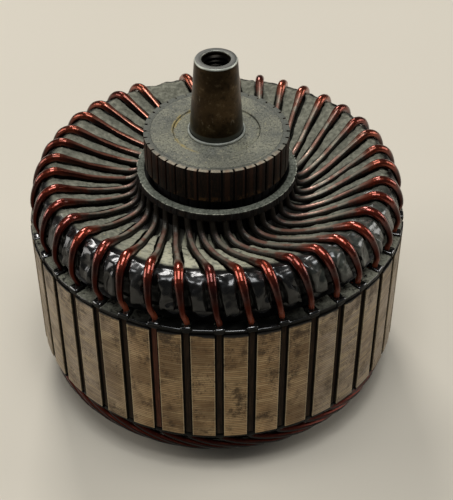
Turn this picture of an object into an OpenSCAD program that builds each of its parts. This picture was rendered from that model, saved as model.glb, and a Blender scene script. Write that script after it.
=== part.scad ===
// Wound commutator armature of a small crank-mounted generator.
// Millimetres, +Z along the shaft, origin at the centre of the hub's lower seat face.

/* [Core] */
// Outer diameter of the laminated core
core_d = 90; // [86:0.5:96]
// Height of the laminated core
core_h = 32; // [26:0.5:40]
// Number of slots, of wires and of commutator bars
slot_n = 39; // [35:2:41]
// Width of a slot
slot_w = 2; // [1.9:0.05:2.4]
// Height of the core's lower face above the seat
core_z = 13; // [12:0.5:20]

/* [Slots] */
// Thickness of the slot's paper liner
liner_t = 0.12; // [0.08:0.01:0.14]
// Depth of the closing strip's face below the core's surface
strip_recess = 0.6; // [0.3:0.05:0.9]
// Thickness of the closing strip
strip_t = 0.4; // [0.3:0.05:0.6]
// Thickness of the insulating plate on each end of the core
end_plate_t = 1.2; // [0.8:0.05:1.6]
// How far the end plate stays inside the core's rim
end_plate_in = 0.35; // [0.2:0.05:0.8]
// Room between the hub and the end plate's bore
end_plate_room = 4; // [1:0.5:6]
// Width of the cuff that folds round the wire at each slot end
cuff_w = 2.6; // [2.5:0.05:3.2]
// Height of the cuff above the end plate
cuff_h = 0.6; // [0.4:0.05:1.2]

/* [Wires] */
// Diameter of an enamelled wire
wire_d = 1.6; // [1.4:0.05:1.65]
// Height of the crown's crest, at the wire's centre, above the core
crest_h = 12.9; // [11.5:0.1:14.5]
// How far the crest lies inward from the slot wires
crest_in = 4.7; // [4:0.1:6]
// How far the wires flare outward over the rim
flare = 0.7; // [0:0.05:0.9]
// Height of the bowl's floor, at the wire's centre, above the core
bowl_h = 6; // [5:0.1:7]
// Angle that a wire turns through between its slot and its riser
lead_turn = 22.2; // [19:0.2:25]
// Radius of the bend where a wire leaves the bowl's floor and stands up to its riser
bend_r = 3.2; // [2.6:0.1:3.6]
// Slot whose crown wire has broken away, counted from the front mark
missing_wire = 25; // [0:1:34]
// Slot that has the red-brown replacement strip
red_strip = 1; // [0:1:34]
// Depth of the lower end turns, at the wire's centre, below the core
foot_drop = 9.4; // [8.8:0.1:10.4]
// Radius at which the lower end turns fold back
foot_r = 24.5; // [23:0.5:26]
// Thickness of the sheet between the lower end turns' two layers
sheet_t = 0.4; // [0.3:0.05:0.6]
// Slots that a coil spans at the lower end
coil_span = 10; // [8:1:10]
// Width of the ring that carries the lower end turns
support_w = 7; // [5:0.5:9]
// Thickness of the ring that carries the lower end turns
support_t = 3.2; // [2:0.1:3.4]
// How far the carrying ring reaches inside the fold of the lower end turns
support_lip = 2; // [1:0.1:2.5]

/* [Commutator] */
// Diameter of the commutator's running face
commutator_d = 33.8; // [32:0.2:36]
// Height of the commutator's top above the core
commutator_h = 22.7; // [20:0.1:26]
// Diameter of the riser ring under the running face
riser_d = 37.9; // [36.5:0.1:39.5]
// Height of the riser ring's top above the core
riser_h = 12.5; // [11.5:0.1:14]
// Thickness of the riser ring
riser_t = 2; // [1.5:0.1:2.6]
// Height of the turned groove between the riser ring and the running face
groove_h = 2.1; // [1.2:0.1:3]
// Depth of the turned groove
groove_depth = 1.2; // [0.6:0.1:1.8]
// Width of the riser ring's flat rim outside the groove
riser_rim = 1.85; // [1.5:0.05:2.1]
// Depth of the groove's floor below the riser ring's top
groove_sink = 1; // [0.5:0.1:1.2]
// Thickness of the mica between two bars
mica_t = 0.45; // [0.3:0.05:0.6]
// Depth of the undercut over the mica
mica_cut = 0.35; // [0.2:0.05:0.6]
// Depth of the notch over the mica in the bars' top edge
mica_notch = 1.1; // [0.8:0.05:1.3]
// Radial thickness of a bar
bar_t = 3.8; // [3:0.1:4.5]
// Width of the bars' bare rim round the end cap
bar_rim = 1.7; // [1.2:0.1:2.2]
// Diameter of the round washer let into the end cap
washer_d = 19.9; // [18:0.1:22]
// Depth of the washer's face below the end cap
washer_sink = 0.3; // [0.2:0.05:0.6]
// Thickness of the end cap
cap_t = 1.6; // [1.2:0.1:2.2]

/* [Shaft] */
// Diameter of the hub in the core
hub_d = 30; // [28:0.5:34]
// Diameter of the hub's shoulder under the core
shoulder_d = 36; // [36:0.5:40]
// Thickness of the hub's shoulder
shoulder_t = 3; // [2:0.5:4]
// How far the hub stands above the core
hub_rise = 2; // [1:0.5:4]
// Diameter of the seat of the commutator, and of the nose's foot
seat_d = 12.2; // [11.4:0.1:12.8]
// Diameter of the nose at its top
nose_top_d = 9.3; // [8.8:0.1:10.4]
// Height of the nose's top above the core
nose_h = 41.4; // [38:0.2:46]
// Height of the plain neck between the end cap and the nose
neck_h = 1.6; // [1:0.1:3]
// Diameter of the bore through the nose
bore_d = 6.6; // [5.5:0.1:7.2]
// Diameter of the crank taper at its mouth
taper_mouth_d = 17; // [16:0.5:19]
// Depth of the crank taper
taper_depth = 28; // [22:0.5:32]
// Outer diameter of the collar ring at the nose's foot
collar_d = 13.4; // [13.2:0.1:14.6]
// Thickness of the collar ring
collar_t = 0.7; // [0.5:0.05:1.2]
// Chamfer on the shaft's edges
shaft_chamfer = 0.5; // [0.2:0.1:0.8]

/* [Fits] */
// Clearance between neighbouring pieces
gap = 0.1; // [0.05:0.01:0.15]
// Clearance between the wires and what they lie on
wire_gap = 0.2; // [0.15:0.01:0.3]

/* [Hidden] */
$fn = 96;

pitch = 360 / slot_n;
core_r = core_d / 2;
core_top = core_z + core_h;
// Azimuth of slot 0, as the photograph shows the front
first_slot = -117.4;
// Azimuth of the slit between the first two bars
first_slit = 199.9;

// Radii of the two wires in a slot
upper_r = core_r - strip_recess - strip_t - gap - wire_d / 2;
lower_r = upper_r - wire_d - 2 * gap;
slot_floor_r = lower_r - wire_d / 2 - gap - liner_t;

// Crown wire path as [turn, radius, height above the core]
crest_r = upper_r - crest_in;
riser_r = riser_d / 2;
lead_r = riser_r - gap - wire_d / 2;
lead_top = riser_h - riser_t - wire_gap - gap;
floor_r = lead_r + bend_r;
cuff_top = end_plate_t + cuff_h;
cuff_end = cuff_top + 4 * gap;
slope_r = crest_r - floor_r;
slope_h = crest_h - bowl_h;
LEAD = [
    [0, upper_r, 0],
    [0, upper_r, cuff_end],
    [-0.036 * lead_turn, upper_r + flare, 0.39 * crest_h],
    [-0.068 * lead_turn, upper_r - 0.02 * crest_in, 0.667 * crest_h],
    [-0.104 * lead_turn, upper_r - 0.4 * crest_in, 0.907 * crest_h],
    [-0.14 * lead_turn, crest_r, crest_h],
    [-0.194 * lead_turn, crest_r - 0.163 * slope_r, bowl_h + 0.826 * slope_h],
    [-0.324 * lead_turn, crest_r - 0.46 * slope_r, bowl_h + 0.435 * slope_h],
    [-0.53 * lead_turn, crest_r - 0.752 * slope_r, bowl_h + 0.13 * slope_h],
    [-0.757 * lead_turn, floor_r, bowl_h],
    [-0.937 * lead_turn, lead_r + 0.25 * bend_r, bowl_h + 0.4 * bend_r],
    [-lead_turn, lead_r, lead_top]
];

// Lower end paths as [turn, radius, height above the core's lower face]
half_span = coil_span * pitch / 2;
foot_in = upper_r - foot_r;
support_in_r = foot_r - support_lip;
plate_bottom = core_z - end_plate_t;
layer_step = wire_d + 4 * gap + sheet_t;
FOOT_OUT = [
    [0, upper_r, 0],
    [0, upper_r, -cuff_end],
    [0.054 * half_span, upper_r, -cuff_end - 0.75 * wire_d],
    [0.2 * half_span, upper_r, -0.515 * foot_drop],
    [0.4 * half_span, upper_r - 0.03 * foot_in, -0.7 * foot_drop],
    [0.6 * half_span, upper_r - 0.135 * foot_in, -0.86 * foot_drop],
    [0.78 * half_span, upper_r - 0.355 * foot_in, -0.945 * foot_drop],
    [0.91 * half_span, upper_r - 0.68 * foot_in, -0.985 * foot_drop],
    [0.97 * half_span, upper_r - 0.97 * foot_in, -foot_drop]
];
FOOT_IN = [
    [0.985 * half_span, foot_r - wire_d / 8, -foot_drop + 0.4 * layer_step],
    [1.03 * half_span, foot_r + 0.03 * foot_in, -foot_drop + layer_step],
    [1.26 * half_span, foot_r + 0.27 * foot_in, -0.985 * foot_drop + layer_step],
    [1.48 * half_span, foot_r + 0.53 * foot_in, -0.96 * foot_drop + layer_step],
    [1.7 * half_span, foot_r + 0.75 * foot_in, -0.9 * foot_drop + layer_step],
    [1.9 * half_span, lower_r - wire_d / 4, -0.64 * foot_drop + layer_step],
    [2 * half_span, lower_r, -cuff_top],
    [2 * half_span, lower_r, 0]
];

// Half of the angle that a wire takes up on the crown
wire_turn = (wire_d / 2 + wire_gap) / crest_r * 180 / PI;
neck_r = lead_r - wire_d / 2 - wire_gap;
cuff_in_r = upper_r - wire_d / 3;

wire_sides = 6;
lead_steps = len(LEAD) - 1;

// Commutator radii and heights
face_r = commutator_d / 2;
bar_in_r = face_r - bar_t;
cap_r = face_r - bar_rim;
seat_r = seat_d / 2;
hub_r = hub_d / 2;
bore_r = bore_d / 2;
taper_mouth_r = taper_mouth_d / 2;
// The crank's cone has a taper of one in five on the diameter
taper_end_r = taper_mouth_r - taper_depth / 10;
commutator_top = core_top + commutator_h;
riser_top = core_top + riser_h;
riser_bottom = riser_top - riser_t;
nose_top = core_top + nose_h;
hub_top = core_top + hub_rise;
groove_top = riser_top + groove_h;
groove_r = face_r - groove_depth;
groove_floor = riser_top - groove_sink;
rim_in_r = riser_r - riser_rim;
cap_seat = commutator_top - cap_t - gap;
washer_top = commutator_top - washer_sink;
washer_bottom = washer_top - cap_t / 2;

// One step of a smooth curve through four neighbouring points
function blend(a, b, c, d, t) =
    0.5 * (2 * b + (c - a) * t + (2 * a - 5 * b + 4 * c - d) * t * t
        + (3 * b - a - 3 * c + d) * t * t * t);

// Point of a path at a share of its length, from 0 to 1
function path_at(path, share) =
    let (
        last = len(path) - 1,
        i = min(floor(share * last), last - 1),
        t = share * last - i,
        before = i == 0 ? 2 * path[0] - path[1] : path[i - 1],
        after = i + 2 > last ? 2 * path[last] - path[last - 1] : path[i + 2]
    )
    blend(before, path[i], path[i + 1], after, t);

function unit(v) = v / norm(v);
function to_space(p) = [p[1] * cos(p[0]), p[1] * sin(p[0]), p[2]];
function heading(path, share, step = 0.004) =
    let (a = max(share - step, 0), b = min(share + step, 1))
    unit(to_space(path_at(path, b)) - to_space(path_at(path, a)));

// Ring of points round a wire, square to its run
function wire_ring(path, share) =
    let (
        p = path_at(path, share),
        run = heading(path, share),
        out = unit(cross(run, [-sin(p[0]), cos(p[0]), 0])),
        side = cross(run, out)
    )
    [for (i = [0:wire_sides - 1])
        let (a = 360 * i / wire_sides)
        to_space(p) + wire_d / 2 * (out * cos(a) + side * sin(a))];

// Side faces between rings of points, and the two closed ends
function tube_faces(rings, sides) = concat(
    [[for (i = [0:sides - 1]) i]],
    [for (j = [0:rings - 2], i = [0:sides - 1], half = [0, 1])
        let (
            a = j * sides + i,
            b = j * sides + (i + 1) % sides
        )
        half == 0 ? [a, a + sides, b] : [b, a + sides, b + sides]],
    [[for (i = [sides - 1:-1:0]) (rings - 1) * sides + i]]
);

module wire(path) {
    steps = len(path) - 1;
    points = [for (j = [0:steps]) each wire_ring(path, j / steps)];
    polyhedron(points, tube_faces(steps + 1, wire_sides));
}

// Repeats a piece at every slot, at all slots but one, or at one slot only
module at_slots(skip = -1, only = -1) {
    for (k = [0:slot_n - 1])
        if (k != skip && (only < 0 || k == only))
            rotate(first_slot + k * pitch)
                children();
}

// Box in a slot, from one radius to another
module slot_box(r0, r1, width, z0, z1) {
    translate([r0, -width / 2, z0])
        cube([r1 - r0, width, z1 - z0]);
}

// Ring from its inner to its outer radius
module ring(r0, r1, z0, z1) {
    translate([0, 0, z0])
        rotate_extrude()
            translate([r0, 0])
                square([r1 - r0, z1 - z0]);
}

// Radius and height beside a path, at a distance to the left of its run
function beside(path, share, distance, step = 0.01) =
    let (
        p = path_at(path, share),
        a = path_at(path, max(share - step, 0)),
        b = path_at(path, min(share + step, 1)),
        run = unit([b[1] - a[1], b[2] - a[2]])
    )
    [p[1] - distance * run[1], p[2] + distance * run[0]];

// Profile beside a path, at the places of the given points of the path
function profile(path, places, distance) =
    [for (place = places) beside(path, place / (len(path) - 1), distance)];

function reversed(list) = [for (i = [len(list) - 1:-1:0]) list[i]];

module shaft() {
    color("#5b4a3c")
        rotate_extrude()
            polygon([
                [taper_mouth_r, 0],
                [hub_r - shaft_chamfer, 0],
                [hub_r, shaft_chamfer],
                [hub_r, core_z - shoulder_t],
                [shoulder_d / 2, core_z - shoulder_t],
                [shoulder_d / 2, core_z],
                [hub_r, core_z],
                [hub_r, hub_top],
                [seat_r, hub_top],
                [seat_r, commutator_top + neck_h],
                [nose_top_d / 2 + shaft_chamfer / 2, nose_top - shaft_chamfer],
                [nose_top_d / 2, nose_top],
                [bore_r, nose_top],
                [bore_r, taper_depth],
                [taper_end_r, taper_depth]
            ]);
}

module nose_collar() {
    color("#b9bcb6")
        ring(seat_r + gap, collar_d / 2, washer_top, washer_top + collar_t);
}

module lamination_core() {
    color("#a89f8c")
        difference() {
            ring(hub_r + gap / 2, core_r, core_z, core_top);
            at_slots()
                slot_box(slot_floor_r, core_r + 1, slot_w, core_z - 1, core_top + 1);
        }
}

// Insulating plate with the slots of the core
module end_plate(z0) {
    difference() {
        ring(hub_r + end_plate_room, core_r - end_plate_in, z0, z0 + end_plate_t);
        at_slots()
            slot_box(slot_floor_r, core_r + 1, slot_w, z0 - 1, z0 + end_plate_t + 1);
    }
}

module top_end_plate() {
    color("#2b2b28")
        end_plate(core_top);
}

module bottom_end_plate() {
    color("#2b2b28")
        end_plate(plate_bottom);
}

// Folded paper trough along both walls and the floor of each slot
module slot_liners() {
    color("#33271d")
        at_slots()
            difference() {
                slot_box(slot_floor_r, upper_r + wire_d / 2, slot_w,
                    plate_bottom, core_top + end_plate_t);
                slot_box(slot_floor_r + liner_t, core_r, slot_w - 2 * liner_t,
                    plate_bottom - 1, core_top + end_plate_t + 1);
            }
}

// Collar of folded paper round the upper wire, from one height to another
module cuff(z0, z1) {
    difference() {
        slot_box(cuff_in_r, core_r - gap, cuff_w, z0, z1);
        translate([upper_r, 0, z0 - 1])
            cylinder(r = wire_d / 2 + gap, h = z1 - z0 + 2);
    }
}

module top_cuffs() {
    color("#151515")
        at_slots()
            cuff(core_top + end_plate_t, core_top + cuff_top);
}

module bottom_cuffs() {
    color("#151515")
        at_slots()
            cuff(core_z - cuff_top, plate_bottom);
}

module slot_strip() {
    slot_box(core_r - strip_recess - strip_t, core_r - strip_recess, slot_w - gap, core_z, core_top);
}

module slot_strips() {
    color("#2a211a")
        at_slots(skip = red_strip)
            slot_strip();
}

module red_slot_strip() {
    color("#5a2b20")
        at_slots(only = red_strip)
            slot_strip();
}

// Straight run of the wires in the slots, at one radius
module slot_conductors(r) {
    at_slots()
        translate([r, 0, core_z + gap])
            cylinder(d = wire_d, h = core_h - 2 * gap);
}

module upper_slot_conductors() {
    color("#6e2a1c")
        slot_conductors(upper_r);
}

module lower_slot_conductors() {
    color("#6e2a1c")
        slot_conductors(lower_r);
}

module top_wires() {
    color("#7d2f1f")
        at_slots(skip = missing_wire)
            translate([0, 0, core_top])
                wire(LEAD);
}

// Taped and varnished body that the crown wires lie on
module crown_insulation() {
    seat = wire_d / 2 + wire_gap;
    outline = profile(LEAD, [2:lead_steps - 2], seat);
    color("#1c1c1b")
        translate([0, 0, core_top])
            rotate_extrude()
                polygon(concat(
                    [[neck_r + gap, end_plate_t], [upper_r - seat - wire_gap, end_plate_t]],
                    outline,
                    [[neck_r + gap, bowl_h - seat]]
                ));
}

// Corners of a block's cross-section on the crown, between two turns from the wire
function block_ring(share, turn0, turn1) =
    let (
        turn = path_at(LEAD, share)[0],
        low = beside(LEAD, share, wire_d / 2),
        high = beside(LEAD, share, wire_d / 16)
    )
    [for (corner = [[turn0, high], [turn1, high], [turn1, low], [turn0, low]])
        to_space([turn + corner[0], corner[1][0], corner[1][1]])];

// Padded block that lies on the crown, from the rim over the crest
module crown_block(turn0, turn1) {
    shares = [1.4, 2, 3, 4, 5, 5.7] / lead_steps;
    points = [for (share = shares) each block_ring(share, turn0, turn1)];
    translate([0, 0, core_top])
        polyhedron(points, tube_faces(len(shares), 4));
}

// Blocks of insulation that fill the crown between the wires
module crown_spacers() {
    color("#121212")
        at_slots()
            crown_block(wire_turn, pitch - wire_turn);
}

// Insulation that has swollen into the groove of the missing wire
module torn_insulation() {
    color("#1a1a1a")
        at_slots(only = missing_wire)
            crown_block(-0.85 * wire_turn, 0.85 * wire_turn);
}

module neck_sleeve() {
    color("#171717")
        ring(bar_in_r + gap, neck_r, hub_top, riser_bottom);
}

// One bar with its riser, as a sector of a ring between two slits
module commutator_bar() {
    sector = pitch - mica_t / face_r * 180 / PI;
    rotate(mica_t / face_r * 90 / PI)
        rotate_extrude(angle = sector)
            polygon([
                [bar_in_r, riser_bottom],
                [riser_r, riser_bottom],
                [riser_r, riser_top],
                [rim_in_r, riser_top],
                [rim_in_r, groove_floor],
                [groove_r, groove_floor],
                [groove_r, groove_top],
                [face_r, groove_top],
                [face_r, commutator_top],
                [cap_r + gap, commutator_top],
                [cap_r + gap, cap_seat],
                [bar_in_r, cap_seat]
            ]);
}

module at_slits() {
    for (k = [0:slot_n - 1])
        rotate(first_slit + k * pitch)
            children();
}

module commutator_bars() {
    color("#8a5a3c")
        at_slits()
            commutator_bar();
}

// Leaf between two bars, flush with the risers, undercut at the running face and notched at the top
module mica_separators() {
    color("#2c2620")
        at_slits()
            rotate([90, 0, 0])
                linear_extrude(mica_t / 2, center = true)
                    polygon([
                        [bar_in_r + gap, riser_bottom],
                        [riser_r - gap, riser_bottom],
                        [riser_r - gap, riser_top],
                        [rim_in_r + gap, riser_top],
                        [rim_in_r + gap, groove_floor],
                        [groove_r - gap, groove_floor],
                        [groove_r - gap, groove_top],
                        [face_r - mica_cut, groove_top],
                        [face_r - mica_cut, commutator_top - mica_notch],
                        [face_r - mica_notch, commutator_top - gap],
                        [cap_r + 2 * gap, commutator_top - gap],
                        [cap_r + 2 * gap, cap_seat],
                        [bar_in_r + gap, cap_seat]
                    ]);
}

module commutator_sleeve() {
    color("#20201e")
        ring(seat_r + gap / 2, bar_in_r - gap / 2, hub_top, cap_seat);
}

module end_cap() {
    color("#6f7168")
        difference() {
            ring(seat_r + gap, cap_r, commutator_top - cap_t, commutator_top);
            ring(0, washer_d / 2 + gap, washer_bottom, commutator_top + 1);
        }
}

module cap_washer() {
    color("#7b7d70")
        ring(seat_r + gap, washer_d / 2, washer_bottom, washer_top);
}

module bottom_outer_wires() {
    color("#5c2418")
        at_slots()
            translate([0, 0, core_z])
                wire(FOOT_OUT);
}

module bottom_inner_wires() {
    color("#5c2418")
        at_slots()
            translate([0, 0, core_z])
                wire(FOOT_IN);
}

module bottom_support_ring() {
    color("#1c1c1b")
        ring(support_in_r, support_in_r + support_w, plate_bottom - support_t, plate_bottom);
}

// Sheet of insulation between the two layers of the lower end turns
module bottom_layer_sheet() {
    near = wire_d / 2 + gap;
    places = [5, 6, 7, 7.6];
    under = profile(FOOT_OUT, places, -near);
    over = profile(FOOT_OUT, places, -near - sheet_t);
    color("#242220")
        translate([0, 0, core_z])
            rotate_extrude()
                polygon(concat(under, reversed(over)));
}

shaft();
nose_collar();
lamination_core();
top_end_plate();
bottom_end_plate();
slot_liners();
top_cuffs();
bottom_cuffs();
slot_strips();
red_slot_strip();
upper_slot_conductors();
lower_slot_conductors();
top_wires();
crown_insulation();
crown_spacers();
torn_insulation();
neck_sleeve();
commutator_bars();
mica_separators();
commutator_sleeve();
end_cap();
cap_washer();
bottom_outer_wires();
bottom_inner_wires();
bottom_support_ring();
bottom_layer_sheet();
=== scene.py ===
import math
import random

import bmesh
import bpy
from mathutils import Matrix, Vector, noise


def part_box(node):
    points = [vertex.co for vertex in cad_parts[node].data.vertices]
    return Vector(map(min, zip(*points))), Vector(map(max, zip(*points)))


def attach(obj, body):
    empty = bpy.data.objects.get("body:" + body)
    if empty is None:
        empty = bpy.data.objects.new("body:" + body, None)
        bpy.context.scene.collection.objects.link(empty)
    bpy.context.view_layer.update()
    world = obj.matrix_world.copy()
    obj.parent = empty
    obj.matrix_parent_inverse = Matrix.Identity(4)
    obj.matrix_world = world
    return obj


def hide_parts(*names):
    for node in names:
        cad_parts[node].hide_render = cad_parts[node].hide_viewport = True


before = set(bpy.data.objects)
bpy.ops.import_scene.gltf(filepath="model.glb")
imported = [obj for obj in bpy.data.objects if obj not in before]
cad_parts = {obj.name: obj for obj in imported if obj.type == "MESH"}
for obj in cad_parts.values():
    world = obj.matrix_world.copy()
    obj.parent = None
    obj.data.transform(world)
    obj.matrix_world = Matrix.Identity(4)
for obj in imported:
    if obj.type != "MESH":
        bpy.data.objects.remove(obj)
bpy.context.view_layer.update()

# Sizes, in metres and radians

MM = 0.001
TURN = 2 * math.pi


def reach(node):
    """Largest radius, lowest place and highest place of a solid of the frame."""
    low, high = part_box(node)
    return max(-low.x, -low.y, high.x, high.y), low.z, high.z


CORE_R, CORE_BOTTOM, CORE_TOP = reach("lamination_core")
PLATE_R, _, PLATE_TOP = reach("top_end_plate")
CUFF_R, _, CUFF_TOP = reach("top_cuffs")
RISER_R, RISER_BOTTOM, COMMUTATOR_TOP = reach("commutator_bars")
NECK_R, _, _ = reach("neck_sleeve")
CAP_R, CAP_BOTTOM, CAP_TOP = reach("end_cap")
WASHER_R, WASHER_BOTTOM, WASHER_TOP = reach("cap_washer")
COLLAR_R, COLLAR_BOTTOM, COLLAR_TOP = reach("nose_collar")
SHAFT_R, SEAT_Z, NOSE_TOP = reach("shaft")

SLOT_COUNT = 39
PITCH = TURN / SLOT_COUNT
FIRST_SLOT = math.radians(-117.4)
FIRST_SLIT = math.radians(199.9)
MISSING_WIRE = 25
RED_STRIP = 1
SLOT_W = 2 * MM
SLOT_FLOOR_R = 40.28 * MM
STRIP_RECESS = 0.6 * MM
STRIP_T = 0.4 * MM
PLATE_T = PLATE_TOP - CORE_TOP
PLATE_IN_R = 19 * MM
TAB_IN_R = 39.4 * MM
TAB_EDGE_R = 42 * MM
RIM_LIMIT_R = CORE_R - 0.02 * MM
CUFF_RISE = CUFF_TOP - CORE_TOP
CUFF_W = 2.6 * MM
GAP = 0.1 * MM

WIRE_R = 0.8 * MM
BARE_WIRE_R = 0.66 * MM
UPPER_R = 43.1 * MM
LOWER_R = 41.3 * MM
CREST_H = 12.9 * MM
CREST_IN = 4.7 * MM
FLARE = 0.7 * MM
BOWL_H = 6 * MM
LEAD_TURN = math.radians(22.2)
BEND_R = 3.2 * MM
FOOT_DROP = 9.4 * MM
FOOT_R = 24.5 * MM
LAYER_STEP = 2.4 * MM
HALF_SPAN = 10 * PITCH / 2

FACE_R = 16.9 * MM
BAR_IN_R = 13.1 * MM
RISER_TOP = CORE_TOP + 12.5 * MM
GROOVE_TOP = RISER_TOP + 2.1 * MM
GROOVE_R = FACE_R - 1.2 * MM
GROOVE_FLOOR = RISER_TOP - 1 * MM
RIM_IN_R = RISER_R - 1.85 * MM
SLIT_W = 0.45 * MM
LEAF_T = 0.58 * MM
SHEET_COUNT = 54
SHEET_T = (CORE_TOP - CORE_BOTTOM) / SHEET_COUNT
SHEET_SLIP = 0.04 * MM
MICA_CUT = 0.35 * MM
MICA_NOTCH = 0.8 * MM

HUB_R = 15 * MM
SHOULDER_BOTTOM = CORE_BOTTOM - 3 * MM
HUB_TOP = CORE_TOP + 2 * MM
SEAT_R = 6.1 * MM
NECK_TOP = COMMUTATOR_TOP + 1.6 * MM
NOSE_TOP_R = 4.65 * MM
BORE_R = 3.3 * MM
TAPER_MOUTH_R = 8.5 * MM
TAPER_DEPTH = 28 * MM
TAPER_END_R = 5.7 * MM
THREAD_PITCH = 1 * MM
THREAD_DEPTH = 0.45 * MM

SEED = 39
random.seed(SEED)
noise.seed_set(SEED)


# Paths of the wires, as (turn, radius, height) from the slot onwards

LEAD_R = RISER_R - GAP - WIRE_R
LEAD_TOP = RISER_BOTTOM - CORE_TOP - 3 * GAP
CREST_R = UPPER_R - CREST_IN
FLOOR_R = LEAD_R + BEND_R
SLOPE_R = CREST_R - FLOOR_R
SLOPE_H = CREST_H - BOWL_H
CUFF_END = CUFF_RISE + 4 * GAP
FOOT_IN = UPPER_R - FOOT_R

LEAD = [
    (0, UPPER_R, 0),
    (0, UPPER_R, CUFF_END),
    (-0.036 * LEAD_TURN, UPPER_R + FLARE, 0.39 * CREST_H),
    (-0.068 * LEAD_TURN, UPPER_R - 0.02 * CREST_IN, 0.667 * CREST_H),
    (-0.104 * LEAD_TURN, UPPER_R - 0.4 * CREST_IN, 0.907 * CREST_H),
    (-0.14 * LEAD_TURN, CREST_R, CREST_H),
    (-0.194 * LEAD_TURN, CREST_R - 0.163 * SLOPE_R, BOWL_H + 0.826 * SLOPE_H),
    (-0.324 * LEAD_TURN, CREST_R - 0.46 * SLOPE_R, BOWL_H + 0.435 * SLOPE_H),
    (-0.53 * LEAD_TURN, CREST_R - 0.752 * SLOPE_R, BOWL_H + 0.13 * SLOPE_H),
    (-0.757 * LEAD_TURN, FLOOR_R, BOWL_H),
    (-0.937 * LEAD_TURN, LEAD_R + 0.25 * BEND_R, BOWL_H + 0.4 * BEND_R),
    (-LEAD_TURN, LEAD_R, LEAD_TOP),
]
FOOT_OUT = [
    (0, UPPER_R, 0),
    (0, UPPER_R, -CUFF_END),
    (0.054 * HALF_SPAN, UPPER_R, -CUFF_END - 1.5 * WIRE_R),
    (0.2 * HALF_SPAN, UPPER_R, -0.515 * FOOT_DROP),
    (0.4 * HALF_SPAN, UPPER_R - 0.03 * FOOT_IN, -0.7 * FOOT_DROP),
    (0.6 * HALF_SPAN, UPPER_R - 0.135 * FOOT_IN, -0.86 * FOOT_DROP),
    (0.78 * HALF_SPAN, UPPER_R - 0.355 * FOOT_IN, -0.945 * FOOT_DROP),
    (0.91 * HALF_SPAN, UPPER_R - 0.68 * FOOT_IN, -0.985 * FOOT_DROP),
    (0.97 * HALF_SPAN, UPPER_R - 0.97 * FOOT_IN, -FOOT_DROP),
]
FOOT_BACK = [
    (0.985 * HALF_SPAN, FOOT_R - WIRE_R / 4, -FOOT_DROP + 0.4 * LAYER_STEP),
    (1.03 * HALF_SPAN, FOOT_R + 0.03 * FOOT_IN, -FOOT_DROP + LAYER_STEP),
    (1.26 * HALF_SPAN, FOOT_R + 0.27 * FOOT_IN, -0.985 * FOOT_DROP + LAYER_STEP),
    (1.48 * HALF_SPAN, FOOT_R + 0.53 * FOOT_IN, -0.96 * FOOT_DROP + LAYER_STEP),
    (1.7 * HALF_SPAN, FOOT_R + 0.75 * FOOT_IN, -0.9 * FOOT_DROP + LAYER_STEP),
    (1.9 * HALF_SPAN, LOWER_R - WIRE_R / 2, -0.64 * FOOT_DROP + LAYER_STEP),
    (2 * HALF_SPAN, LOWER_R, -CUFF_RISE),
    (2 * HALF_SPAN, LOWER_R, 0),
]


def path_at(path, share):
    """Point of a smooth curve through a path's points, at a share of its steps from 0 to 1."""
    points = [Vector(p) for p in path]
    last = len(points) - 1
    i = min(int(share * last), last - 1)
    t = share * last - i
    b, c = points[i], points[i + 1]
    a = points[i - 1] if i else 2 * b - c
    d = points[i + 2] if i + 2 <= last else 2 * c - b
    return 0.5 * (2 * b + (c - a) * t + (2 * a - 5 * b + 4 * c - d) * t ** 2
                  + (3 * b - a - 3 * c + d) * t ** 3)


def to_space(point):
    """Place in space of a (turn, radius, height) point."""
    return Vector((point[1] * math.cos(point[0]), point[1] * math.sin(point[0]), point[2]))


def run_at(path, share, step=0.004):
    """Radius and height step of a path at a share, as a unit vector in its own section plane."""
    a = path_at(path, max(share - step, 0))
    b = path_at(path, min(share + step, 1))
    return Vector((b[1] - a[1], b[2] - a[2])).normalized()


def ease(value, low, high):
    """Smooth step of a number from 0 at low to 1 at high."""
    t = min(max((value - low) / (high - low), 0), 1)
    return t * t * (3 - 2 * t)


# Shapes

def slot_angle(k):
    """Azimuth of a slot by its number."""
    return FIRST_SLOT + k * PITCH


def turned(angle):
    """Turn about the shaft."""
    return Matrix.Rotation(angle, 4, "Z")


def soften(bm, width, segments=2, angle=math.radians(40)):
    """Rounds the edges of a closed shape that are sharper than an angle."""
    sharp = [e for e in bm.edges if e.is_manifold and e.calc_face_angle(0) > angle]
    bmesh.ops.bevel(bm, geom=sharp, offset=width, segments=segments, profile=0.5,
                    affect="EDGES", clamp_overlap=True, material=-1)


def lathe(profile, steps=128, start=0, angle=TURN):
    """Solid of a closed outline of (radius, height) points, turned about the shaft."""
    bm = bmesh.new()
    corners = [bm.verts.new((r * math.cos(start), r * math.sin(start), z)) for r, z in profile]
    face = bm.faces.new(corners)
    whole = abs(angle - TURN) < 1e-6
    outline = corners + list(face.edges) + ([] if whole else [face])
    if whole:
        bmesh.ops.delete(bm, geom=[face], context="FACES_ONLY")
    bmesh.ops.spin(bm, geom=outline, cent=(0, 0, 0), axis=(0, 0, 1), angle=angle, steps=steps,
                   use_merge=whole)
    bmesh.ops.remove_doubles(bm, verts=bm.verts, dist=1e-7)
    bmesh.ops.recalc_face_normals(bm, faces=bm.faces)
    return bm


def repeated(shape, places):
    """Copies of a shape at each of the places, joined in one bmesh."""
    mesh = bpy.data.meshes.new("repeat")
    shape.to_mesh(mesh)
    shape.free()
    whole = bmesh.new()
    for place in places:
        start = len(whole.verts)
        whole.from_mesh(mesh)
        whole.verts.ensure_lookup_table()
        bmesh.ops.transform(whole, matrix=place, verts=whole.verts[start:])
    bpy.data.meshes.remove(mesh)
    return whole


def joined(shapes):
    """One bmesh that holds all the shapes."""
    whole = bmesh.new()
    for shape in shapes:
        mesh = bpy.data.meshes.new("join")
        shape.to_mesh(mesh)
        shape.free()
        whole.from_mesh(mesh)
        bpy.data.meshes.remove(mesh)
    return whole


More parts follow.
